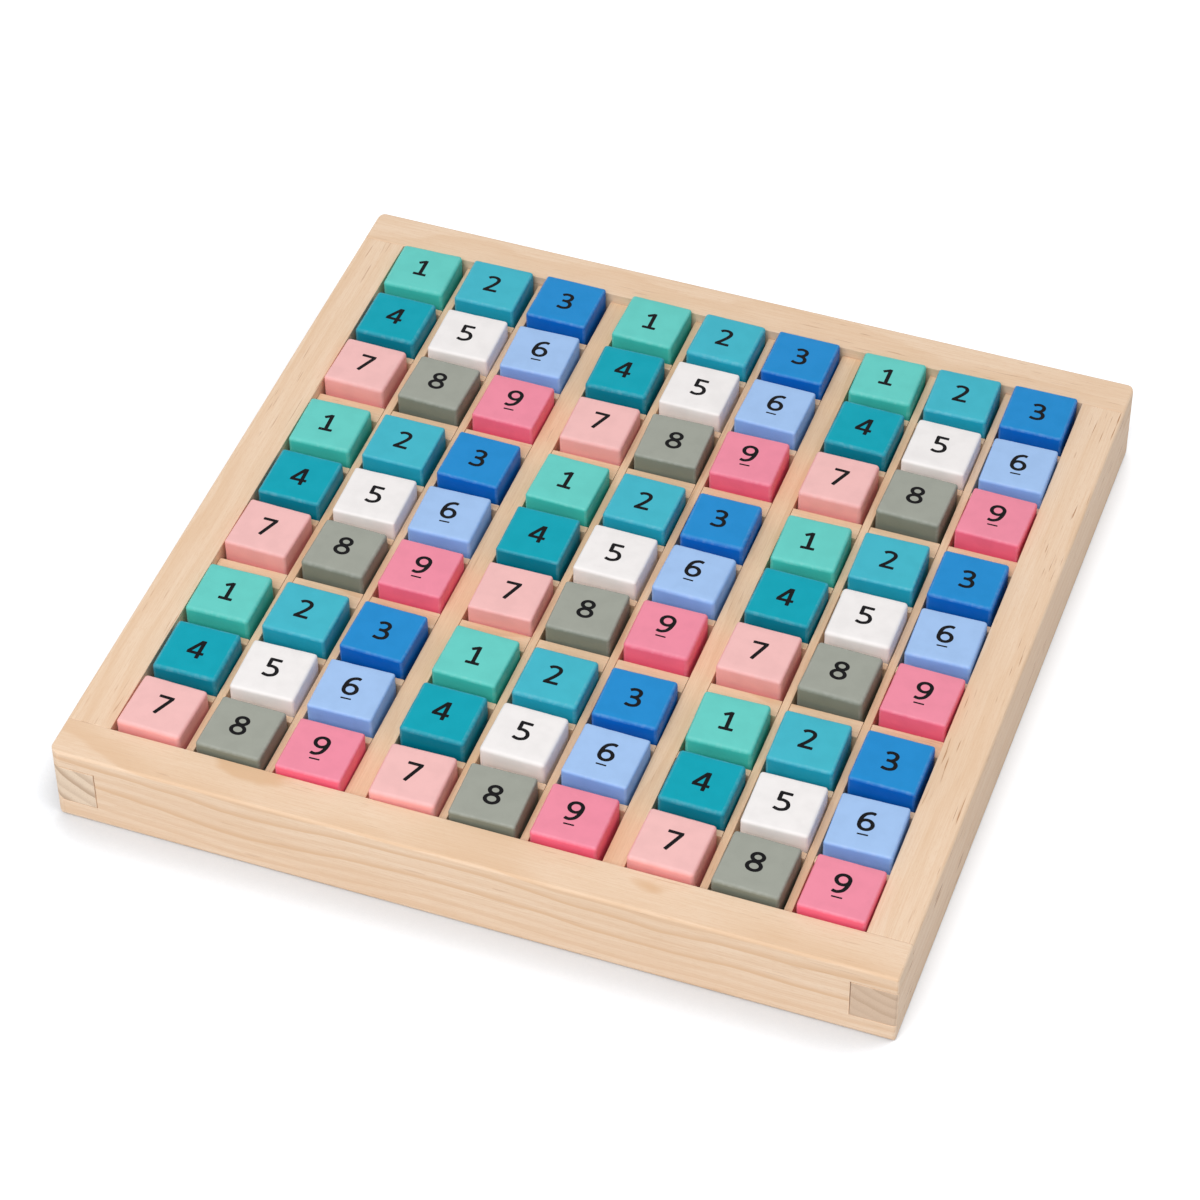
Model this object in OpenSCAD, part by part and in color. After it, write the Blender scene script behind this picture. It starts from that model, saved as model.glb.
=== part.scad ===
// Wooden sudoku board: a pine tray with a lattice of dividers and 81 loose painted number cubes.
// The origin is on the table, under the middle of the board. +X is right, +Y is back, +Z is up.

/* [Number cubes] */
// Side of a number cube
cube_side = 20; // [16:0.5:24]
// Radius of a cube's softened edges
cube_round = 0.8; // [0.4:0.1:1.6]
// Room between a cube and its cell, on each side
cube_play = 1; // [0.7:0.05:1.5]
// Height of the cubes above the dividers
cube_proud = 5.7; // [4:0.1:10]
// Shift of all the loose cubes towards the right of their cells
cube_lean = 0.2; // [0:0.05:0.3]
// Largest further shift of a loose cube, either way
cube_shift = 0.4; // [0:0.05:0.4]
// Share of the room then left by which loose cubes have turned
cube_twist = 0.6; // [0:0.05:0.9]

/* [Dividers] */
// Thickness of the dividers between cells
thin_strip = 2.4; // [1.6:0.1:4]
// Thickness of the dividers between boxes of nine cells
wide_strip = 6.5; // [5:0.1:10]
// Room in a half-lap notch, on each side
lap_room = 0.1; // [0.05:0.05:0.3]
// Room between the end of a divider and the rail
end_room = 0.1; // [0:0.05:0.4]

/* [Frame] */
// Width of a rail, seen from above
rail_w = 13.5; // [10:0.5:18]
// Height of a rail
rail_h = 26.5; // [24:0.5:32]
// Radius of the rails' outer top edges
top_round = 1; // [0.5:0.1:4]
// Radius of the rails' outer bottom edges
bottom_round = 1.5; // [0.5:0.1:3]
// Radius of the frame's upright edges, other than the one at the front right
corner_round = 3.5; // [0.5:0.1:5]
// Radius of the upright edge at the front right, which is sanded less
crisp_round = 1; // [0.5:0.1:5]
// Thickness of the lip above a corner finger
lip_above = 6; // [4.5:0.1:9]
// Thickness of the lip below a corner finger
lip_below = 6.6; // [4.5:0.1:9]
// Room around a corner finger in its slot
finger_room = 0.15; // [0.05:0.05:0.4]

/* [Base panel] */
// Thickness of the base panel
panel_t = 3; // [2:0.5:5]
// Height of the panel's underside above the table
panel_lift = 6; // [3.5:0.5:7]
// Depth of the panel's groove in the rails
groove_deep = 4; // [2:0.5:6]
// Room above and around the panel in its groove
groove_room = 0.2; // [0.1:0.05:0.5]

/* [Hidden] */
$fn = 48;
// Cells along one side of a box, and boxes along one side of the board
box_cells = 3;
board_cells = box_cells * box_cells;
// How far cutting shapes run past what they cut
reach = 1;
// Angle between steps of the sine wave that scatters the loose cubes
scatter_angle = 137.5;
// Ways in which a cube is scattered: to the side, backwards and turning
scatter_ways = 3;

cell = cube_side + 2 * cube_play;
box_pitch = box_cells * cell + (box_cells - 1) * thin_strip + wide_strip;
inner = box_cells * box_pitch - wide_strip;
outer = inner + 2 * rail_w;
floor_z = panel_lift + panel_t;
strip_top = floor_z + cube_side - cube_proud;
lap_z = (floor_z + strip_top) / 2;
finger_top = rail_h - lip_above;
twist_limit = atan(cube_twist * (cube_play - cube_lean - cube_shift) / (cube_side / 2));

pine = [0.90, 0.78, 0.62];
plywood = [0.84, 0.74, 0.58];
paints = [
  [0.43, 0.83, 0.79], [0.29, 0.73, 0.81], [0.17, 0.56, 0.83],
  [0.10, 0.65, 0.73], [0.95, 0.93, 0.93], [0.66, 0.79, 0.96],
  [0.97, 0.76, 0.76], [0.64, 0.65, 0.62], [0.96, 0.58, 0.66]
];

// Boxes by column and row, counted from the front left
corner_boxes = [["front_left", 0, 0], ["front_right", 2, 0], ["back_left", 0, 2], ["back_right", 2, 2]];
cross_boxes = [["front", 1, 0], ["left", 0, 1], ["centre", 1, 1], ["right", 2, 1], ["back", 1, 2]];

// Upright edges of the frame by side along x, side along y and radius
frame_corners = [
  [-1, -1, corner_round], [1, -1, crisp_round],
  [-1, 1, corner_round], [1, 1, corner_round]
];

function corner_cube_name(box, digit) = str("cube_", box[0], "_", digit);
function cross_cubes_name(digit) = str("cross_cubes_", digit);

// Middle of a cell along either side of the board, with cell 0 at the left or the front
function cell_pos(i) =
  (cell - inner) / 2 + i * (cell + thin_strip) + floor(i / box_cells) * (wide_strip - thin_strip);
// Divider i stands between cell i and the next one
function is_wide(i) = (i + 1) % box_cells == 0;
function strip_w(i) = is_wide(i) ? wide_strip : thin_strip;
function strip_pos(i) = cell_pos(i) + (cell + strip_w(i)) / 2;
// A digit's cell, with 1 2 3 at the back of its box and 7 8 9 at the front
function digit_col(box, digit) = box[1] * box_cells + (digit - 1) % box_cells;
function digit_row(box, digit) = (box[2] + 1) * box_cells - 1 - floor((digit - 1) / box_cells);
// Scatter of a loose cube in one of its ways, from -1 to 1
function scatter(index, way) = sin(scatter_angle * (scatter_ways * index + way));

module rounded_rect(x, y, r) {
  square([x - 2 * r, y], center = true);
  square([x, y - 2 * r], center = true);
  for (sx = [-1, 1], sy = [-1, 1])
    translate([sx * (x / 2 - r), sy * (y / 2 - r)]) circle(r);
}

module soft_cube(side, r) {
  intersection_for (turn = [[0, 0, 0], [90, 0, 0], [0, 90, 0]])
    rotate(turn) linear_extrude(side + 2 * reach, center = true) rounded_rect(side, side, r);
}

// Upright outline of the whole frame, standing on the x axis
module frame_profile() {
  translate([-outer / 2, bottom_round]) square([outer, rail_h - top_round - bottom_round]);
  translate([-outer / 2 + top_round, rail_h - 2 * top_round]) square([outer - 2 * top_round, 2 * top_round]);
  translate([-outer / 2 + bottom_round, 0]) square([outer - 2 * bottom_round, 2 * bottom_round]);
  for (side = [-1, 1]) {
    translate([side * (outer / 2 - top_round), rail_h - top_round]) circle(top_round);
    translate([side * (outer / 2 - bottom_round), bottom_round]) circle(bottom_round);
  }
}

// Outline of the whole frame, seen from above
module frame_plan() {
  difference() {
    square(outer, center = true);
    for (corner = frame_corners)
      translate([corner[0] * outer / 2, corner[1] * outer / 2]) square(2 * corner[2], center = true);
  }
  for (corner = frame_corners)
    translate([corner[0] * (outer / 2 - corner[2]), corner[1] * (outer / 2 - corner[2])]) circle(corner[2]);
}

// Solid block with the frame's outer shape
module frame_block() {
  intersection() {
    translate([0, 0, -reach]) linear_extrude(rail_h + 2 * reach) frame_plan();
    rotate([90, 0, 0]) linear_extrude(outer + 2 * reach, center = true) frame_profile();
    rotate([90, 0, 90]) linear_extrude(outer + 2 * reach, center = true) frame_profile();
  }
}

module panel_groove() {
  width = inner + 2 * groove_deep;
  translate([-width / 2, -width / 2, panel_lift]) cube([width, width, panel_t + groove_room]);
}

// Rail across the front, or the back if back is 1, slotted at both ends for the side rails' fingers
module end_rail(back) {
  slot_w = rail_w + finger_room + reach;
  difference() {
    intersection() {
      frame_block();
      mirror([0, back, 0]) translate([-outer / 2 - reach, -outer / 2 - reach, -reach])
        cube([outer + 2 * reach, rail_w + reach, rail_h + 2 * reach]);
    }
    for (side = [0, 1]) mirror([side, 0, 0]) mirror([0, back, 0])
      translate([inner / 2 - finger_room, -outer / 2 - reach, lip_below])
        cube([slot_w, rail_w + 2 * reach, finger_top - lip_below]);
    panel_groove();
  }
}

// Rail along the right side, or the left if left is 1, with a finger at each end
module side_rail(left) {
  finger_z = lip_below + finger_room;
  difference() {
    intersection() {
      frame_block();
      mirror([left, 0, 0]) union() {
        translate([inner / 2, -inner / 2, -reach]) cube([rail_w + reach, inner, rail_h + 2 * reach]);
        translate([inner / 2, -outer / 2 - reach, finger_z])
          cube([rail_w + reach, outer + 2 * reach, finger_top - finger_room - finger_z]);
      }
    }
    panel_groove();
  }
}

// Plain divider of width w, lying along x
module strip(w) {
  length = inner - 2 * end_room;
  translate([-length / 2, -w / 2, floor_z]) cube([length, w, strip_top - floor_z]);
}

// Notches for all the crossing dividers, for a divider of width w that lies along x
module notches(w, low, high) {
  for (i = [0:board_cells - 2])
    translate([strip_pos(i) - strip_w(i) / 2 - lap_room, -w / 2 - reach, low])
      cube([strip_w(i) + 2 * lap_room, w + 2 * reach, high - low]);
}

// Divider from left to right, notched from above
module row_strip(i) {
  translate([0, strip_pos(i), 0]) difference() {
    strip(strip_w(i));
    notches(strip_w(i), lap_z, strip_top + reach);
  }
}

// Divider from front to back, notched from below
module column_strip(i) {
  translate([strip_pos(i), 0, 0]) rotate(90) difference() {
    strip(strip_w(i));
    notches(strip_w(i), floor_z - reach, lap_z + lap_room);
  }
}

module number_cube(box, digit) {
  col = digit_col(box, digit);
  row = digit_row(box, digit);
  index = row * board_cells + col;
  place_x = cell_pos(col) + cube_lean + cube_shift * scatter(index, 0);
  place_y = cell_pos(row) + cube_shift * scatter(index, 1);
  color(paints[digit - 1])
    translate([place_x, place_y, floor_z + cube_side / 2])
      rotate(twist_limit * scatter(index, 2)) soft_cube(cube_side, cube_round);
}

module front_rail() { color(pine) end_rail(back = 0); }
module back_rail() { color(pine) end_rail(back = 1); }
module right_rail() { color(pine) side_rail(left = 0); }
module left_rail() { color(pine) side_rail(left = 1); }

module base_panel() {
  width = inner + 2 * (groove_deep - groove_room);
  color(plywood) translate([-width / 2, -width / 2, panel_lift]) cube([width, width, panel_t]);
}

module column_strips(wide) {
  color(pine) for (i = [0:board_cells - 2]) if (is_wide(i) == wide) column_strip(i);
}

module row_strips(wide) {
  color(pine) for (i = [0:board_cells - 2]) if (is_wide(i) == wide) row_strip(i);
}

front_rail();
back_rail();
left_rail();
right_rail();
base_panel();
column_strips(wide = false);  // thin_column_strips
column_strips(wide = true);  // wide_column_strips
row_strips(wide = false);  // thin_row_strips
row_strips(wide = true);  // wide_row_strips
for (box = corner_boxes, digit = [1:board_cells])
  number_cube(box, digit);
for (digit = [1:board_cells], box = cross_boxes)
  number_cube(box, digit);
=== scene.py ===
# Looks of the wooden sudoku board: pine tray and dividers, painted number cubes and their printed numbers.
import math

import bmesh
import bpy
from mathutils import Matrix, Vector, noise


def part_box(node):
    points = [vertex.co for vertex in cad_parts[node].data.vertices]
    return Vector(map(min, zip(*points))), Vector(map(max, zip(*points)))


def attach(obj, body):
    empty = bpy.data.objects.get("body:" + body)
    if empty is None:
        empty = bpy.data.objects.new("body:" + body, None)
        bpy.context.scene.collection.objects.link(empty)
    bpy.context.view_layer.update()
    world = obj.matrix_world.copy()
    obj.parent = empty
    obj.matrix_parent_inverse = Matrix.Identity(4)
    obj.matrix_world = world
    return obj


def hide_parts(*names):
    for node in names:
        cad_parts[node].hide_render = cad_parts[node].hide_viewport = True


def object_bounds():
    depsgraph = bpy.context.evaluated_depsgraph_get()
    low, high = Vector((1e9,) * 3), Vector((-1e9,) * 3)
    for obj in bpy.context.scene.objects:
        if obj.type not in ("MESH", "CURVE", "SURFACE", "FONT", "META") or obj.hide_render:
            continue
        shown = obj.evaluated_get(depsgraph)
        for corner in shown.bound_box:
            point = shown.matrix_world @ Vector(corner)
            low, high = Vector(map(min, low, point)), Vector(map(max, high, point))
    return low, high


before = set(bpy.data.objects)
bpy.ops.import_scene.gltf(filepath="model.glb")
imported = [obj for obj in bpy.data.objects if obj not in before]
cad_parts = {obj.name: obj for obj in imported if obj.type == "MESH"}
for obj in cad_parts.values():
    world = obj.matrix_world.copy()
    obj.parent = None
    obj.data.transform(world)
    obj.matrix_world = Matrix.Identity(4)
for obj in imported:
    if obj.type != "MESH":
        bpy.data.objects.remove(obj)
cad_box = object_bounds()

MM = 0.001
GOLDEN_ANGLE = math.radians(137.5)
SCATTER_STEP = 7
MIDDLE = (cad_box[0] + cad_box[1]) / 2
# The painted cubes lie this far inside the CAD cubes, which leaves room for the print on top
PRINT_ROOM = 0.04 * MM
CUBE_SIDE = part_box("cube_front_left_1")[1].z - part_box("cube_front_left_1")[0].z - 2 * PRINT_ROOM


def scatter(index, way):
    """An even spread of values from -1 to 1, the same on every run."""
    return math.sin(GOLDEN_ANGLE * (SCATTER_STEP * index + way))


def linear(red, green, blue):
    """A screen colour from 0 to 255 as linear red, green and blue."""
    shares = (channel / 255 for channel in (red, green, blue))
    return tuple(c / 12.92 if c < 0.0404 else ((c + 0.055) / 1.055) ** 2.4 for c in shares)


# Node helpers

class Nodes:
    """A new material and short ways to add nodes to it."""

    def __init__(self, name):
        self.material = bpy.data.materials.new(name)
        self.material.use_nodes = True
        self.tree = self.material.node_tree
        self.shader = self.tree.nodes["Principled BSDF"]

    def put(self, socket, value):
        if isinstance(value, bpy.types.NodeSocket):
            self.tree.links.new(value, socket)
        elif isinstance(value, tuple) and socket.type == "RGBA":
            socket.default_value = (*value, 1)
        else:
            socket.default_value = value

    def add(self, kind, inputs=(), **settings):
        node = self.tree.nodes.new(kind)
        for key, value in settings.items():
            setattr(node, key, value)
        for key, value in dict(inputs).items():
            self.put(node.inputs[key], value)
        return node

    def math(self, operation, first, second=0.0, clamp=False):
        node = self.add("ShaderNodeMath", {0: first, 1: second}, operation=operation, use_clamp=clamp)
        return node.outputs[0]

    def attribute(self, name):
        return self.add("ShaderNodeAttribute", attribute_name=name)

    def scaled(self, vector, scale):
        node = self.add("ShaderNodeVectorMath", {0: vector, 1: scale}, operation="MULTIPLY")
        return node.outputs[0]

    def noise(self, vector, detail=2.0, roughness=0.5):
        inputs = {"Vector": vector, "Scale": 1.0, "Detail": detail, "Roughness": roughness}
        return self.add("ShaderNodeTexNoise", inputs).outputs[0]

    def spread(self, value, low, high, to_low=0.0, to_high=1.0):
        """A value from low to high, eased and brought to another range."""
        inputs = {"Value": value, "From Min": low, "From Max": high, "To Min": to_low, "To Max": to_high}
        return self.add("ShaderNodeMapRange", inputs, interpolation_type="SMOOTHSTEP").outputs[0]

    def mix(self, share, first, second, blend="MIX"):
        inputs = {"Factor": share, 6: first, 7: second}
        return self.add("ShaderNodeMix", inputs, data_type="RGBA", blend_type=blend).outputs[2]

    def bump(self, height, strength, distance):
        inputs = {"Height": height, "Strength": strength, "Distance": distance}
        self.put(self.shader.inputs["Normal"], self.add("ShaderNodeBump", inputs).outputs[0])


# Materials

RAIL_EARLY = linear(243, 216, 189)
RAIL_LATE = linear(226, 187, 149)
STRIP_EARLY = linear(243, 211, 178)
STRIP_LATE = linear(222, 180, 140)
RESIN = linear(176, 124, 84)
END_PALE = linear(238, 215, 190)
END_DARK = linear(218, 191, 166)
END_LATE = linear(176, 142, 112)
PLY_PALE = linear(232, 208, 172)
PLY_DARK = linear(206, 174, 134)
PAINTS = {
    1: linear(109, 211, 202),
    2: linear(74, 187, 206),
    3: linear(44, 144, 212),
    4: linear(26, 167, 186),
    5: linear(247, 243, 242),
    6: linear(168, 201, 245),
    7: linear(248, 195, 193),
    8: linear(164, 167, 157),
    9: linear(245, 147, 169),
}
# What the satin gloss adds to a paint, taken off its colour
PAINT_VEIL = 0.01
LEAST_PAINT = 0.0005
# Painted shade: how much darker and deeper the paint colour is made on a cube's sides than on its top
SIDE_SHADE_LEVEL, SIDE_SHADE_DEPTH = 1.15, 1.58
MOTTLE = 0.94
# How far the paint on the edges goes towards white: chipped wear in spots, and a faint painted highlight all
# along them
EDGE_WEAR_AND_HIGHLIGHT_PALE = 0.3
INK = (0.003, 0.0028, 0.0034)
INK_PALE = tuple(c * 2.2 for c in INK)
# Growth rings and how far they wander, in mm
RING_WIDTH = 4.2
RING_WAVE = 14.0
RING_RIPPLE = 1.6
# Noise of the wood for each mm along the grain, across it and up
WAVE_SCALE = (0.011, 0.02, 0.02)
RIPPLE_SCALE = (0.05, 0.12, 0.12)
FIBRE_SCALE = (0.05, 2.6, 2.6)
BLOTCH_SCALE = (0.012, 0.07, 0.07)
STREAK_SCALE = (0.08, 1.5, 1.5)
GROUP_SCALE = (0.03, 0.12, 0.12)
SAND_SCALE = (0.5, 4.5, 4.5)
PORE_SCALE = (0.5, 3.0, 3.0)
VENEER_SCALE = (0.012, 0.09, 0.09)
VENEER_FIBRE_SCALE = (0.06, 2.2, 2.2)
VENEER_BANDS = 42.0
# Noise of the paint for each mm, and of the ink for each metre
MOTTLE_SCALE = (0.18, 0.18, 0.18)
PEEL_SCALE = (1.6, 1.6, 1.6)
CHIP_SCALE = (0.7, 0.7, 0.7)
INK_SCALE = (1500.0, 1500.0, 1500.0)


def rings(nodes, grain):
    """How dark the growth rings are: late wood rises slowly and ends at once. Grain is mm from the pith."""
    wave = nodes.noise(nodes.scaled(grain, WAVE_SCALE), 2.0)
    ripple = nodes.noise(nodes.scaled(grain, RIPPLE_SCALE), 2.0)
    parts = nodes.add("ShaderNodeSeparateXYZ", {0: grain})
    across = nodes.math("POWER", parts.outputs[1], 2.0)
    up = nodes.math("POWER", parts.outputs[2], 2.0)
    radius = nodes.math("SQRT", nodes.math("ADD", across, up))
    radius = nodes.math("ADD", radius, nodes.math("MULTIPLY", wave, RING_WAVE))
    radius = nodes.math("ADD", radius, nodes.math("MULTIPLY", ripple, RING_RIPPLE))
    count = nodes.math("DIVIDE", radius, RING_WIDTH)
    place = nodes.math("FRACT", count)
    number = nodes.math("FLOOR", count)
    own = nodes.add("ShaderNodeTexWhiteNoise", {"W": number}, noise_dimensions="1D").outputs[0]
    rise = nodes.spread(place, 0.25, 0.9)
    fall = nodes.spread(place, 0.9, 1.0, 1.0, 0.0)
    dark = nodes.math("MULTIPLY", rise, fall)
    return nodes.math("MULTIPLY", dark, nodes.spread(own, 0.0, 1.0, 0.35, 1.0))


def pine(name, figure, streaks, early, late):
    """Planed pine. Figure is how strongly the rings show, and streaks how strongly the resin does."""
    nodes = Nodes(name)
    grain = nodes.attribute("grain").outputs["Vector"]
    dark = rings(nodes, grain)
    fibre = nodes.noise(nodes.scaled(grain, FIBRE_SCALE), 4.0, 0.6)
    blotch = nodes.noise(nodes.scaled(grain, BLOTCH_SCALE), 2.0)
    streak = nodes.noise(nodes.scaled(grain, STREAK_SCALE), 1.0)
    group = nodes.noise(nodes.scaled(grain, GROUP_SCALE), 1.0)
    resin = nodes.math("MULTIPLY", nodes.spread(streak, 0.64, 0.74), nodes.spread(group, 0.47, 0.58))
    colour = nodes.mix(nodes.math("MULTIPLY", dark, figure), early, late)
    sand = nodes.noise(nodes.scaled(grain, SAND_SCALE), 2.0, 0.7)
    colour = nodes.mix(nodes.spread(fibre, 0.35, 0.7, 0.0, 0.4), colour, late)
    colour = nodes.mix(nodes.spread(sand, 0.5, 0.75, 0.0, 0.5), colour, late)
    colour = nodes.mix(nodes.spread(blotch, 0.4, 0.75, 0.0, 0.3), colour, late)
    colour = nodes.mix(nodes.math("MULTIPLY", resin, streaks), colour, RESIN)
    nodes.put(nodes.shader.inputs["Base Color"], colour)
    nodes.put(nodes.shader.inputs["Roughness"], nodes.spread(fibre, 0.3, 0.7, 0.5, 0.68))
    nodes.shader.inputs["Specular IOR Level"].default_value = 0.3
    nodes.bump(nodes.math("ADD", fibre, nodes.math("MULTIPLY", dark, -0.4)), 0.25, 0.08 * MM)
    return nodes.material


def pine_end(name, contrast, early, late):
    """Sawn end grain with the rings in section."""
    nodes = Nodes(name)
    grain = nodes.attribute("grain").outputs["Vector"]
    dark = rings(nodes, grain)
    pores = nodes.noise(nodes.scaled(grain, PORE_SCALE), 3.0, 0.65)
    colour = nodes.mix(nodes.math("MULTIPLY", dark, contrast), early, late)
    colour = nodes.mix(nodes.spread(pores, 0.45, 0.75, 0.0, 0.3), colour, late)
    nodes.put(nodes.shader.inputs["Base Color"], colour)
    nodes.put(nodes.shader.inputs["Roughness"], nodes.spread(pores, 0.3, 0.7, 0.65, 0.85))
    nodes.shader.inputs["Specular IOR Level"].default_value = 0.3
    nodes.bump(pores, 0.4, 0.12 * MM)
    return nodes.material


def plywood():
    """Rotary-cut veneer with a wide, wandering figure."""
    nodes = Nodes("plywood")
    grain = nodes.attribute("grain").outputs["Vector"]
    figure = nodes.noise(nodes.scaled(grain, VENEER_SCALE), 3.0, 0.55)
    bands = nodes.math("SINE", nodes.math("MULTIPLY", figure, VENEER_BANDS))
    fibre = nodes.noise(nodes.scaled(grain, VENEER_FIBRE_SCALE), 4.0, 0.6)
    colour = nodes.mix(nodes.spread(bands, 0.2, 1.0, 0.0, 0.6), PLY_PALE, PLY_DARK)
    colour = nodes.mix(nodes.spread(fibre, 0.4, 0.75, 0.0, 0.45), colour, PLY_DARK)
    nodes.put(nodes.shader.inputs["Base Color"], colour)
    nodes.put(nodes.shader.inputs["Roughness"], nodes.spread(fibre, 0.3, 0.7, 0.6, 0.75))
    nodes.bump(fibre, 0.25, 0.08 * MM)
    return nodes.material


def paint(digit):
    """Satin paint on a wooden cube, with painted shade that makes its sides darker and deeper, and a little
    paler along the edges from chipped wear and a faint painted highlight.
    """
    nodes = Nodes(f"paint_{digit}")
    spot = nodes.attribute("spot").outputs["Vector"]
    edge = nodes.attribute("edge").outputs["Fac"]
    side = nodes.attribute("side").outputs["Fac"]
    base = tuple(max(LEAST_PAINT, c - PAINT_VEIL) for c in PAINTS[digit])
    painted_side_shade = tuple(min(1, SIDE_SHADE_LEVEL * c ** SIDE_SHADE_DEPTH) for c in base)
    mottle = nodes.noise(nodes.scaled(spot, MOTTLE_SCALE), 3.0)
    peel = nodes.noise(nodes.scaled(spot, PEEL_SCALE), 3.0, 0.6)
    chips = nodes.noise(nodes.scaled(spot, CHIP_SCALE), 2.0)
    # Painted shade: the cube's sides take a darker, deeper copy of the paint colour
    colour = nodes.mix(side, base, painted_side_shade)
    shade = nodes.mix(1.0, colour, (MOTTLE, MOTTLE, MOTTLE), "MULTIPLY")
    colour = nodes.mix(nodes.spread(mottle, 0.35, 0.7, 0.0, 0.8), colour, shade)
    # Chipped wear in spots, and a faint painted highlight as a pale line all along the edges
    wear_and_edge_highlight = nodes.math("MULTIPLY", edge, nodes.spread(chips, 0.4, 0.75, 0.06, 0.22))
    colour = nodes.mix(wear_and_edge_highlight, colour, tuple(c + (1 - c) * EDGE_WEAR_AND_HIGHLIGHT_PALE for c in base))
    nodes.put(nodes.shader.inputs["Base Color"], colour)
    nodes.put(nodes.shader.inputs["Roughness"], nodes.spread(mottle, 0.3, 0.7, 0.36, 0.5))
    nodes.shader.inputs["Specular IOR Level"].default_value = 0.15
    nodes.bump(nodes.math("ADD", peel, mottle), 0.16, 0.06 * MM)
    return nodes.material


def ink():
    """Near-black print, a little uneven."""
    nodes = Nodes("ink")
    spot = nodes.add("ShaderNodeTexCoord").outputs["Object"]
    grit = nodes.noise(nodes.scaled(spot, INK_SCALE), 2.0)
    nodes.put(nodes.shader.inputs["Base Color"], nodes.mix(grit, INK, INK_PALE))
    nodes.shader.inputs["Roughness"].default_value = 0.6
    nodes.shader.inputs["Specular IOR Level"].default_value = 0.1
    return nodes.material


# Wooden pieces

EASED_EDGE = 0.25 * MM
SHARP = math.radians(30)
FLAT = math.radians(0.5)
WELD = 0.001 * MM
# A face whose normal follows a way at least this closely faces that way
FACING = 0.7


def islands(mesh):
    """The separate solids of a bmesh, as lists of vertices."""
    left = set(mesh.verts)
    found = []
    while left:
        group = {left.pop()}
        rim = set(group)
        while rim:
            rim = {e.other_vert(v) for v in rim for e in v.link_edges} - group
            group |= rim
        left -= group
        found.append(list(group))
    return found


def solids(node):
    """One clean bmesh for each solid of a CAD node, from left to right or from front to back."""
    whole = bmesh.new()
    whole.from_mesh(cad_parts[node].data)
    bmesh.ops.remove_doubles(whole, verts=whole.verts, dist=WELD)
    bmesh.ops.dissolve_limit(whole, angle_limit=FLAT, verts=whole.verts, edges=whole.edges)
    whole.verts.index_update()
    groups = [{v.index for v in group} for group in islands(whole)]
    found = []
    for group in groups:
        part = whole.copy()
        bmesh.ops.delete(part, geom=[v for v in part.verts if v.index not in group], context="VERTS")
        found.append(part)
    whole.free()
    return sorted(found, key=lambda part: sum((v.co.x + v.co.y for v in part.verts)) / len(part.verts))


def ease(part):
    """Softens the outer sharp edges a little, as sanding does."""
    sharp = [e for e in part.edges if e.is_manifold and e.is_convex and e.calc_face_angle() > SHARP]
    bmesh.ops.bevel(
        part, geom=sharp, offset=EASED_EDGE, segments=2, profile=0.5, affect="EDGES", clamp_overlap=True
    )
    part.verts.index_update()


def add_vectors(mesh, name, values):
    layer = mesh.attributes.new(name, "FLOAT_VECTOR", "POINT")
    for item, value in zip(layer.data, values):
        item.vector = value


def middle_of(part):
    """The middle of a bmesh's box."""
    low = Vector(min(v.co[i] for v in part.verts) for i in range(3))
    high = Vector(max(v.co[i] for v in part.verts) for i in range(3))
    return (low + high) / 2


def grain_places(part, along, pith):
    """Where each vertex lies from the pith in mm: along the grain, across it and up."""
    across = Vector((0, 1, 0)) if along.x else Vector((1, 0, 0))
    middle = middle_of(part)
    places = [(v.co - middle) / MM for v in part.verts]
    return [Vector((p.dot(along), p.dot(across), p.z)) - Vector(pith) for p in places]


def wooden(name, node, along, boards, materials):
    """A wooden piece on the tray, made of (solid, pith) boards with their grain along one way."""
    points, faces, grain = [], [], []
    for part, pith in boards:
        ease(part)
        first = len(points)
        points += [v.co.copy() for v in part.verts]
        faces += [[first + v.index for v in face.verts] for face in part.faces]
        grain += grain_places(part, along, pith)
        part.free()
    mesh = bpy.data.meshes.new(name)
    mesh.from_pydata(points, [], faces)
    add_vectors(mesh, "grain", grain)
    for material in materials:
        mesh.materials.append(material)
    for face in mesh.polygons:
        face.use_smooth = True
        if len(materials) > 1 and abs(face.normal.dot(along)) > FACING:
            face.material_index = 1
    piece = bpy.data.objects.new(name, mesh)
    bpy.context.scene.collection.objects.link(piece)
    piece.modifiers.new("flat_faces", "WEIGHTED_NORMAL").keep_sharp = True
    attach(piece, "tray")
    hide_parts(node)


X_WAY = Vector((1, 0, 0))
Y_WAY = Vector((0, 1, 0))
PLAIN = pine("pine_plain", 0.35, 0.5, RAIL_EARLY, RAIL_LATE)
STREAKED = pine("pine_streaked", 0.35, 0.9, RAIL_EARLY, RAIL_LATE)
FIGURED = pine("pine_figured", 0.95, 0.25, RAIL_EARLY, RAIL_LATE)
STRIP_PINE = pine("pine_strips", 0.6, 0.3, STRIP_EARLY, STRIP_LATE)
PALE_ENDS = pine_end("pine_end_pale", 0.7, END_PALE, END_LATE)
DARK_ENDS = pine_end("pine_end_dark", 0.4, END_DARK, END_LATE)
LIP_ENDS = pine_end("pine_end_lip", 0.25, RAIL_EARLY, RAIL_LATE)
# Grain, place of the tree's middle (along the grain, across it and up, in mm), and materials of each rail
RAILS = {
    "front_rail": (X_WAY, (40, 10, 74), [FIGURED, LIP_ENDS]),
    "back_rail": (X_WAY, (310, -16, -62), [PLAIN, LIP_ENDS]),
    "left_rail": (Y_WAY, (700, 34, 58), [PLAIN, PALE_ENDS]),
    "right_rail": (Y_WAY, (1130, 26, 62), [STREAKED, DARK_ENDS]),
}
STRIPS = {
    "thin_column_strips": Y_WAY,
    "wide_column_strips": Y_WAY,
    "thin_row_strips": X_WAY,
    "wide_row_strips": X_WAY,
}
PANEL_PITH = (50, 20, 90)
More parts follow.
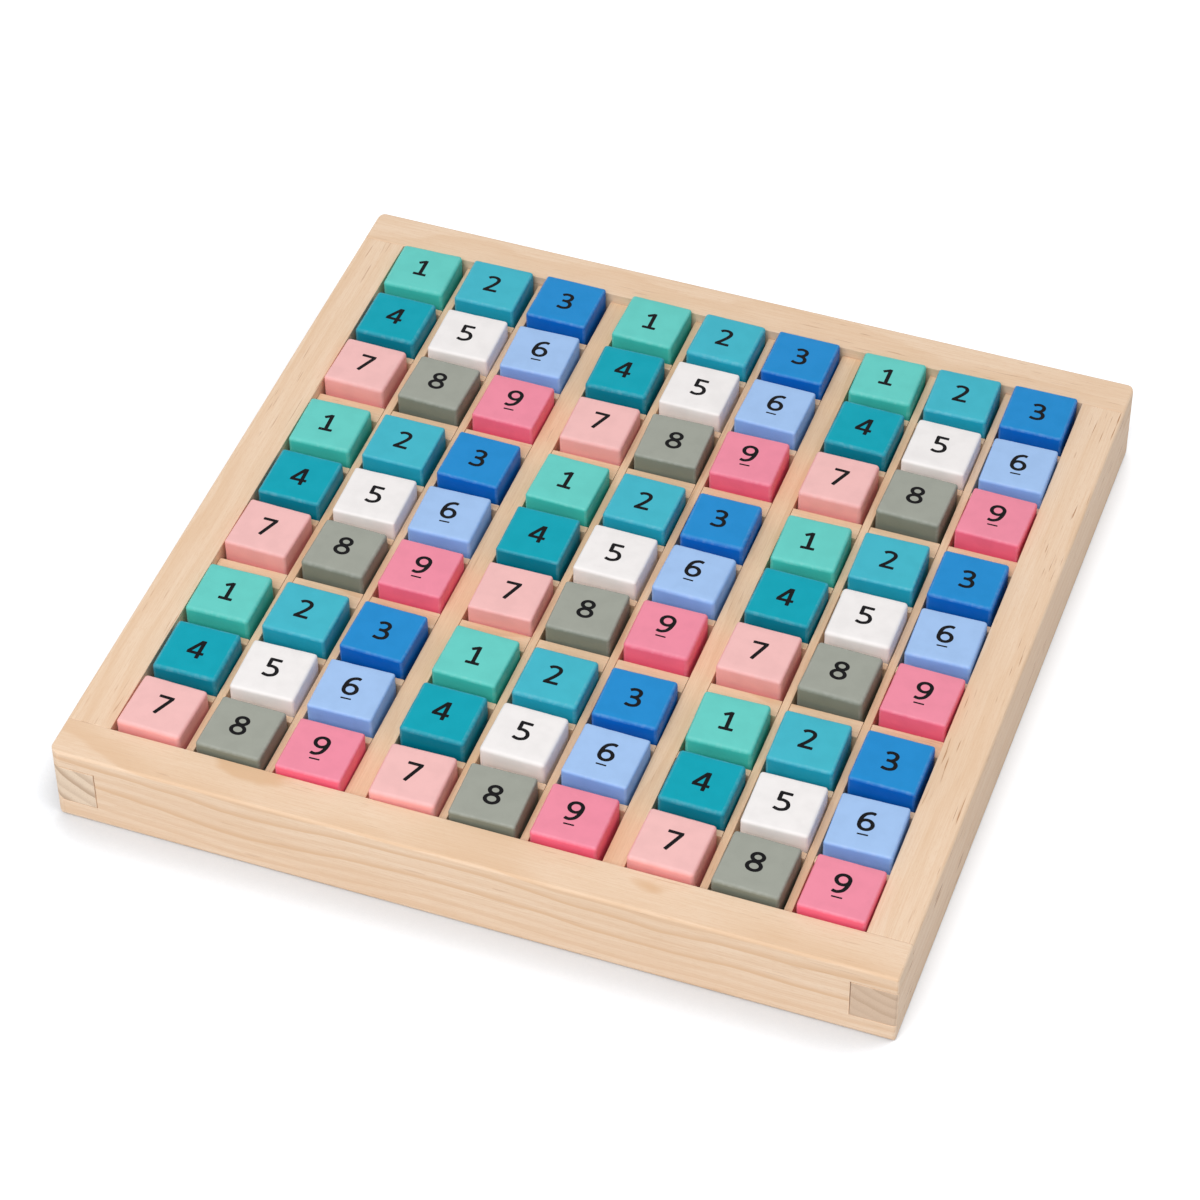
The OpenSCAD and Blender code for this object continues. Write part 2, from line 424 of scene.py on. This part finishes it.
# Where the pith lies for the dividers: a step along the tree for each, and a spread across it and up
STRIP_STEP = 190
STRIP_ACROSS = 45
STRIP_UP, STRIP_UP_SPREAD = 60, 25


def strip_pith(number):
    """A place for the middle of the tree that each divider was cut from, in mm from the divider."""
    across = STRIP_ACROSS * scatter(number, 0)
    up = STRIP_UP + STRIP_UP_SPREAD * scatter(number, 1)
    return STRIP_STEP * number, across, up


def make_tray():
    for node, (along, pith, materials) in RAILS.items():
        wooden("pine_" + node, node, along, [(solids(node)[0], pith)], materials)
    panel = [(solids("base_panel")[0], PANEL_PITH)]
    wooden("plywood_base_panel", "base_panel", X_WAY, panel, [plywood()])
    count = 0
    for node, along in STRIPS.items():
        parts = solids(node)
        boards = [(part, strip_pith(count + number)) for number, part in enumerate(parts, 1)]
        count += len(parts)
        wooden("pine_" + node, node, along, boards, [STRIP_PINE, PALE_ENDS])


# Painted cubes

CUBE_ROUNDS = [0.85 * MM, 1.0 * MM, 1.2 * MM]
ROUND_STEPS = 3
FLAT_STEPS = 9
DENT = 0.1 * MM
DENT_LENGTH = 3.2 * MM
# Steps in mm between the cubes' places in the noise, so that no two wear alike
CUBE_STEPS = Vector((31, 17, 5))
# An outward way whose largest part is under this lies on an edge
ON_EDGE = 0.99


def cube_lines(rounding):
    """Places of the grid lines across a cube's face: close together at the edges, wide apart between."""
    flat = CUBE_SIDE / 2 - rounding
    turns = [math.radians(45) * i / ROUND_STEPS for i in range(1, ROUND_STEPS + 1)]
    bend = [flat + rounding * math.tan(turn) for turn in turns]
    level = [flat * (2 * i / FLAT_STEPS - 1) for i in range(FLAT_STEPS + 1)]
    return [-x for x in reversed(bend)] + level + bend


def cube_grid(rounding):
    """A grid over a cube: its corners as (core point, outward way, on an edge or not), and its faces."""
    lines = cube_lines(rounding)
    flat = CUBE_SIDE / 2 - rounding
    shell = bmesh.new()
    turns = [Matrix.Rotation(math.radians(90) * i, 3, "X") for i in range(4)]
    turns += [Matrix.Rotation(math.radians(a), 3, "Y") for a in (90, -90)]
    for turn in turns:
        rows = [[shell.verts.new(turn @ Vector((x, y, CUBE_SIDE / 2))) for y in lines] for x in lines]
        for i in range(len(lines) - 1):
            for j in range(len(lines) - 1):
                shell.faces.new((rows[i][j], rows[i + 1][j], rows[i + 1][j + 1], rows[i][j + 1]))
    bmesh.ops.remove_doubles(shell, verts=shell.verts, dist=WELD)
    shell.verts.index_update()
    corners = []
    for v in shell.verts:
        core = Vector(max(-flat, min(flat, c)) for c in v.co)
        way = (v.co - core).normalized()
        corners.append((core, way, max(abs(c) for c in way) < ON_EDGE))
    faces = [[v.index for v in face.verts] for face in shell.faces]
    shell.free()
    return corners, faces


def cube_mesh(name, grid, rounding, index):
    """A rounded cube whose edges are a little uneven, each cube in its own way."""
    corners, faces = grid
    start = CUBE_STEPS * index * MM
    points = []
    for core, way, on_edge in corners:
        wear = max(0, noise.noise((core + start) / DENT_LENGTH)) if on_edge else 0
        points.append(core + way * (rounding - DENT * wear))
    mesh = bpy.data.meshes.new(name)
    mesh.from_pydata(points, [], faces)
    add_vectors(mesh, "spot", [(p + start) / MM for p in points])
    # The edge mark carries the chipped wear and the faint painted highlight along the cube's edges
    edge = mesh.attributes.new("edge", "FLOAT", "POINT")
    # The side share is 1 on the cube's sides and 0 on its top and bottom, and carries the painted shade of
    # the sides
    side = mesh.attributes.new("side", "FLOAT", "POINT")
    for number, (core, way, on_edge) in enumerate(corners):
        edge.data[number].value = float(on_edge)
        side.data[number].value = way.to_2d().length_squared
    mesh.shade_smooth()
    return mesh


def cube_places(node):
    """The middle and turn of each cube in a CAD node."""
    places = []
    for part in solids(node):
        side = max((f for f in part.faces if f.normal.x > FACING), key=lambda f: f.calc_area())
        places.append((middle_of(part), math.atan2(side.normal.y, side.normal.x)))
        part.free()
    return places


def box_name(place):
    """Which of the nine boxes a place is in."""
    half_box = (cad_box[1].x - cad_box[0].x) / 6
    rows = "front_" if place.y < -half_box else "back_" if place.y > half_box else ""
    columns = "left" if place.x < -half_box else "right" if place.x > half_box else ""
    return (rows + columns).strip("_") or "centre"


# Printed numbers, in millimetres from the middle of the number

PEN = Vector((0.6, 0.53))
PEN_END = 0.14
PEN_END_SHARE = 0.72
INK_SUNK = 0.02 * MM
INK_PROUD = 0.03 * MM
CURVE_STEPS = 7
LOOP_STEPS = 40
UNDERLINE = [("line", [(-1.6, -5.12), (1.6, -5.12)], 0.27)]
BASE = -3.17
STROKES = {
    1: [
        ("line", [(0.1, 3.62), (0.1, -3.6)]),
        ("line", [(-1.98, 2.04), (0.25, 3.3)]),
        ("line", [(-2.15, BASE), (2.15, BASE)]),
    ],
    2: [
        ("curve", [
            (-2.05, 2.5), (-1.3, 3.02), (-0.15, 3.2), (1.0, 2.8), (1.42, 1.85),
            (1.15, 0.8), (0.45, -0.45), (-0.5, -1.75), (-1.65, -3.1),
        ]),
        ("line", [(-2.2, BASE), (2.25, BASE)]),
    ],
    3: [
        ("curve", [
            (-1.95, 2.6), (-1.2, 3.02), (-0.25, 3.2), (0.85, 2.85),
            (1.33, 1.9), (0.95, 0.8), (0.0, 0.16), (-1.35, 0.1),
        ]),
        ("curve", [
            (-0.4, 0.1), (0.75, -0.15), (1.5, -0.8), (1.7, -1.75),
            (1.2, -2.75), (0.0, -3.2), (-1.2, -3.1), (-2.1, -2.75),
        ]),
    ],
    4: [
        ("line", [(1.09, 3.62), (1.09, -3.62)]),
        ("line", [(-2.6, -1.56), (2.6, -1.56)]),
        ("line", [(0.8, 3.4), (-2.2, -1.5)]),
    ],
    5: [
        ("line", [(-1.9, 3.17), (1.9, 3.17)]),
        ("line", [(-1.4, 3.5), (-1.4, 0.0)]),
        ("curve", [
            (-1.65, 0.3), (-0.75, 0.5), (0.1, 0.48), (1.2, 0.0), (1.78, -1.25),
            (1.35, -2.5), (0.1, -3.15), (-1.0, -3.15), (-2.1, -2.75),
        ]),
    ],
    6: [
        ("curve", [
            (1.9, 2.92), (1.1, 3.18), (0.2, 3.05), (-0.95, 2.35),
            (-1.65, 1.0), (-1.9, -0.7), (-1.88, -1.5),
        ]),
        ("loop", [(0.02, -1.4), (1.92, 1.8)]),
        *UNDERLINE,
    ],
    7: [
        ("line", [(-2.35, 3.17), (2.3, 3.17)]),
        ("line", [(1.85, 3.2), (-1.0, -3.62)]),
    ],
    8: [
        ("loop", [(0.0, 1.8), (1.65, 1.4)]),
        ("loop", [(0.0, -1.6), (1.95, 1.6)]),
    ],
    9: [
        ("loop", [(0.0, 1.4), (1.92, 1.8)]),
        ("curve", [
            (1.88, 1.5), (1.88, 0.5), (1.55, -1.05), (0.85, -2.4),
            (-0.3, -3.1), (-1.15, -3.17), (-2.05, -2.9),
        ]),
        *UNDERLINE,
    ],
}
PRINT_SHIFT = (-0.2, 0.2)
UNDERLINED_SHIFT = (-0.3, 1.4)
PRINT_SPREAD = 0.35
PRINT_TURN = math.radians(1.5)


def smooth_line(points):
    """A Catmull-Rom curve through the points."""
    ends = [2 * points[0] - points[1], *points, 2 * points[-1] - points[-2]]
    found = []
    for a, b, c, d in zip(ends, ends[1:], ends[2:], ends[3:]):
        for step in range(CURVE_STEPS):
            t = step / CURVE_STEPS
            found.append(b + t / 2 * (c - a + t * (2 * a - 5 * b + 4 * c - d + t * (3 * (b - c) + d - a))))
    return [*found, points[-1]]


def stroke_edges(kind, values, half_height=None):
    """Points along both edges of a stroke, and whether it closes on itself."""
    pen = Vector((PEN.x, half_height or PEN.y))
    if kind == "loop":
        middle, radii = values
        turns = [2 * math.pi * i / LOOP_STEPS for i in range(LOOP_STEPS)]
        across = [middle[0] + radii[0] * math.cos(a) for a in turns]
        up = [middle[1] + radii[1] * math.sin(a) for a in turns]
        line = [Vector(p) for p in zip(across, up)]
        outward = [Vector((math.cos(a) / radii[0], math.sin(a) / radii[1])).normalized() for a in turns]
        shares = [1] * LOOP_STEPS
    else:
        line = [Vector(p) for p in values]
        line = smooth_line(line) if kind == "curve" else line
        first, last = (line[1] - line[0]).normalized(), (line[-1] - line[-2]).normalized()
        line = [line[0], line[0] + PEN_END * first, *line[1:-1], line[-1] - PEN_END * last, line[-1]]
        ways = [b - a for a, b in zip([line[0], *line], [*line[1:], line[-1]])]
        ways = [(a + b).normalized() for a, b in zip(ways, [*ways[1:], ways[-1]])]
        outward = [Vector((way.y, -way.x)) for way in ways]
        shares = [PEN_END_SHARE] + [1] * (len(line) - 2) + [PEN_END_SHARE]
    offsets = [share * Vector((pen.x * way.x, pen.y * way.y)) for way, share in zip(outward, shares)]
    right = [p + o for p, o in zip(line, offsets)]
    left = [p - o for p, o in zip(line, offsets)]
    return right, left, kind == "loop"


def stroke_solid(name, right, left, closed):
    """A thin solid of ink between two edges."""
    points = [(*(p * MM), z) for z in (-INK_SUNK, INK_PROUD) for side in (right, left) for p in side]
    count = len(right)
    faces = []
    steps = range(count if closed else count - 1)
    for i in steps:
        j = (i + 1) % count
        low_right, low_left, high_right, high_left = ((i + k * count, j + k * count) for k in range(4))
        faces.append((high_right[0], high_right[1], high_left[1], high_left[0]))
        faces.append((low_right[1], low_right[0], low_left[0], low_left[1]))
        faces.append((low_right[0], low_right[1], high_right[1], high_right[0]))
        faces.append((low_left[1], low_left[0], high_left[0], high_left[1]))
    if not closed:
        faces.append((count, 0, 2 * count, 3 * count))
        faces.append((count - 1, 2 * count - 1, 4 * count - 1, 3 * count - 1))
    mesh = bpy.data.meshes.new(name)
    mesh.from_pydata(points, [], faces)
    solid = bpy.data.objects.new(name, mesh)
    bpy.context.scene.collection.objects.link(solid)
    return solid


def print_mesh(digit, material):
    """A number's strokes, joined into one thin solid."""
    name = f"print_{digit}"
    strokes = [stroke_solid(f"{name}_stroke", *stroke_edges(*stroke)) for stroke in STROKES[digit]]
    whole = strokes[0]
    for stroke in strokes[1:]:
        join = whole.modifiers.new("join", "BOOLEAN")
        join.operation = "UNION"
        join.solver = "EXACT"
        join.use_self = True
        join.object = stroke
    mesh = bpy.data.meshes.new_from_object(whole.evaluated_get(bpy.context.evaluated_depsgraph_get()))
    mesh.name = name
    mesh.materials.clear()
    mesh.materials.append(material)
    for stroke in strokes:
        bpy.data.meshes.remove(stroke.data)
    return mesh


def place(name, mesh, location, turn, body):
    """A piece on a cube's body."""
    piece = bpy.data.objects.new(name, mesh)
    bpy.context.scene.collection.objects.link(piece)
    piece.location = location
    piece.rotation_euler.z = turn
    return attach(piece, body)


def make_cubes():
    grids = [cube_grid(rounding) for rounding in CUBE_ROUNDS]
    paints = {digit: paint(digit) for digit in PAINTS}
    black = ink()
    prints = {digit: print_mesh(digit, black) for digit in PAINTS}
    nodes = sorted(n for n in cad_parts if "cube" in n)
    index = 0
    for node in nodes:
        digit = int(node[-1])
        for middle, turn in cube_places(node):
            index += 1
            own = f"{box_name(middle)}_{digit}"
            size = 5 * index % len(CUBE_ROUNDS)
            mesh = cube_mesh(f"painted_cube_{own}", grids[size], CUBE_ROUNDS[size], index)
            mesh.materials.append(paints[digit])
            cube = place(mesh.name, mesh, middle, turn, node)
            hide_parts(node)
            shift = UNDERLINED_SHIFT if UNDERLINE[0] in STROKES[digit] else PRINT_SHIFT
            spread = Vector(PRINT_SPREAD * scatter(index, way) for way in range(2))
            slip = (Vector(shift) + spread).to_3d() * MM + Vector((0, 0, CUBE_SIDE / 2))
            slip.rotate(Matrix.Rotation(turn, 3, "Z"))
            print_turn = turn + PRINT_TURN * scatter(index, 2)
            place(f"print_{own}", prints[digit], middle + slip, print_turn, node)


# Stage, light and camera

FLOOR_SIZE = 12.0
FLOOR_COLOUR = (0.71, 0.735, 0.77)
FLOOR_GLOW = 0.58
CONTACT_REACH = 24 * MM
# The contact shade is deepest on the side away from this way, and goes from full to none between these shares
SHADE_WAY = (0.5, 0.4, 1.0)
SHADE_FULL, SHADE_NONE = 0.4, 0.95
WORLD_LIGHT = 0.5
KEY_POWER = 36.3
KEY_SIZE = 1.5
KEY_DISTANCE = 2.4
KEY_AZIMUTH, KEY_ELEVATION = math.radians(-6), math.radians(55.5)
CAMERA_TARGET = Vector((-2.55, -6.7, 15)) * MM
CAMERA_DISTANCE = 1.204
CAMERA_AZIMUTH, CAMERA_ELEVATION = math.radians(20.15), math.radians(45.23)
CAMERA_ROLL = math.radians(-0.46)
CAMERA_LENS = 121.2


def seen(nodes):
    """1 for rays that show the background, in sight, gloss or glass, and 0 for rays that light the scene."""
    path = nodes.new("ShaderNodeLightPath")
    total = None
    for name in ("Is Camera Ray", "Is Glossy Ray", "Is Transmission Ray"):
        if total is None:
            total = path.outputs[name]
            continue
        both = nodes.new("ShaderNodeMath")
        both.operation = "MAXIMUM"
        nodes.id_data.links.new(total, both.inputs[0])
        nodes.id_data.links.new(path.outputs[name], both.inputs[1])
        total = both.outputs[0]
    return total


def make_floor():
    mesh = bpy.data.meshes.new("floor")
    half = FLOOR_SIZE / 2
    corners = [(-half, -half, 0), (half, -half, 0), (half, half, 0), (-half, half, 0)]
    mesh.from_pydata(corners, [], [(0, 1, 2, 3)])
    floor = bpy.data.objects.new("floor", mesh)
    bpy.context.scene.collection.objects.link(floor)
    nodes = Nodes("floor")
    nodes.shader.inputs["Base Color"].default_value = (*FLOOR_COLOUR, 1)
    nodes.shader.inputs["Roughness"].default_value = 0.9
    nodes.shader.inputs["Specular IOR Level"].default_value = 0.1
    nodes.shader.inputs["Emission Color"].default_value = (1, 1, 1, 1)
    way = nodes.add("ShaderNodeCombineXYZ", dict(enumerate(SHADE_WAY))).outputs[0]
    way = nodes.add("ShaderNodeVectorMath", {0: way}, operation="NORMALIZE").outputs[0]
    inputs = {"Distance": CONTACT_REACH, "Normal": way}
    near = nodes.add("ShaderNodeAmbientOcclusion", inputs).outputs["AO"]
    open_floor = nodes.spread(near, SHADE_FULL, SHADE_NONE, 0.0, FLOOR_GLOW)
    glow = nodes.math("MULTIPLY", seen(nodes.tree.nodes), open_floor)
    nodes.put(nodes.shader.inputs["Emission Strength"], glow)
    mesh.materials.append(nodes.material)


def around(azimuth, elevation, distance):
    """A point round the board: azimuth 0 is in front, and positive is to the right."""
    level = math.cos(elevation) * distance
    return Vector((math.sin(azimuth) * level, -math.cos(azimuth) * level, math.sin(elevation) * distance))


def make_light():
    world = bpy.data.worlds.new("studio")
    bpy.context.scene.world = world
    world.use_nodes = True
    back = world.node_tree.nodes["Background"]
    back.inputs["Color"].default_value = (1, 1, 1, 1)
    nodes = world.node_tree.nodes
    level = nodes.new("ShaderNodeMapRange")
    level.inputs["To Min"].default_value = WORLD_LIGHT
    level.inputs["To Max"].default_value = 1.0
    world.node_tree.links.new(seen(nodes), level.inputs["Value"])
    world.node_tree.links.new(level.outputs[0], back.inputs["Strength"])
    lamp = bpy.data.lights.new("key", "AREA")
    lamp.energy = KEY_POWER
    lamp.size = KEY_SIZE
    key = bpy.data.objects.new("key", lamp)
    bpy.context.scene.collection.objects.link(key)
    key.location = MIDDLE + around(KEY_AZIMUTH, KEY_ELEVATION, KEY_DISTANCE)
    key.rotation_euler = (MIDDLE - key.location).to_track_quat("-Z", "Y").to_euler()


def make_camera():
    lens = bpy.data.cameras.new("camera")
    lens.lens = CAMERA_LENS
    camera = bpy.data.objects.new("camera", lens)
    bpy.context.scene.collection.objects.link(camera)
    way = around(CAMERA_AZIMUTH, CAMERA_ELEVATION, CAMERA_DISTANCE)
    aim = (-way).to_track_quat("-Z", "Y").to_matrix() @ Matrix.Rotation(CAMERA_ROLL, 3, "Z")
    camera.matrix_world = Matrix.Translation(CAMERA_TARGET + way) @ aim.to_4x4()
    bpy.context.scene.camera = camera


bpy.context.scene.view_settings.view_transform = "Standard"
make_camera()
make_floor()
make_light()
make_tray()
make_cubes()
